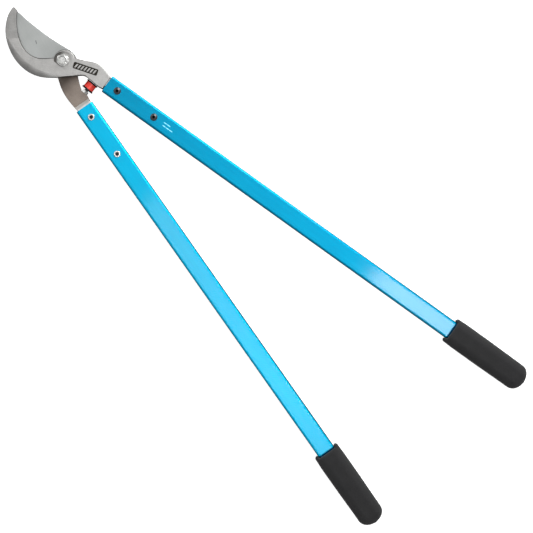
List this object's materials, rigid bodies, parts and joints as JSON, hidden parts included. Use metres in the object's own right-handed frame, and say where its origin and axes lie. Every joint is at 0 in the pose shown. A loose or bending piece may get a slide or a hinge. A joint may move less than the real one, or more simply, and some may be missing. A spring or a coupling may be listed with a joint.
{
  "type": "bypass loppers",
  "caption": "Two-handed bypass loppers: a curved cutting blade passes a crescent hook on one pivot bolt, with rectangular tube handles, foam grips and a rubber bumper.",
  "frame": {"origin": "on the pivot axis, at the outer face of the pivot bolt's head, which the tool rests on when it lies flat", "axes": "+X from the pivot towards the tips of the closed jaws, midway between the handles; +Y to the cutting blade's handle side; +Z along the pivot bolt, up from the bolt head to the nut, when the tool lies flat"},
  "size_m": [0.8073, 0.2935, 0.0278],
  "materials": {
    "forged_steel": "forged, ground faces",
    "blade_steel": "flat ground blade, dark heat-treated tang",
    "zinc_steel": "bright zinc plated",
    "black_steel": "black oxide",
    "bronze": "sintered bronze",
    "nylon": "natural nylon",
    "red_rubber": "moulded, satin",
    "blue_anodised_aluminium": "blue anodised, fine extrusion lines",
    "plug_plastic": "moulded",
    "grip_foam": "fine-celled foam rubber, matt"
  },
  "bodies": {
    "hook_side": {"hook_jaw": "forged_steel", "hook_handle_tube": "blue_anodised_aluminium", "hook_handle_screws": "black_steel", "hook_handle_sleeve_nuts": "zinc_steel", "hook_handle_end_plug": "plug_plastic", "hook_grip": "grip_foam", "pivot_bolt": "zinc_steel", "pivot_washer": "zinc_steel", "pivot_nut": "zinc_steel", "pivot_nut_insert": "nylon"},
    "blade_side": {"cutting_blade": "blade_steel", "pivot_bushing": "bronze", "bumper_strike_disc": "black_steel", "bumper_rubber": "red_rubber", "bumper_seat_disc": "black_steel", "bumper_lock_nut": "zinc_steel", "blade_handle_tube": "blue_anodised_aluminium", "blade_handle_screws": "black_steel", "blade_handle_sleeve_nuts": "zinc_steel", "blade_handle_end_plug": "plug_plastic", "blade_grip": "grip_foam"}
  },
  "joints": [
    {"name": "pivot", "type": "hinge", "parent": "hook_side", "child": "blade_side", "pos_m": [0, 0, 0.013], "axis": [0, 0, -1], "range_deg": [0, 65]}
  ]
}
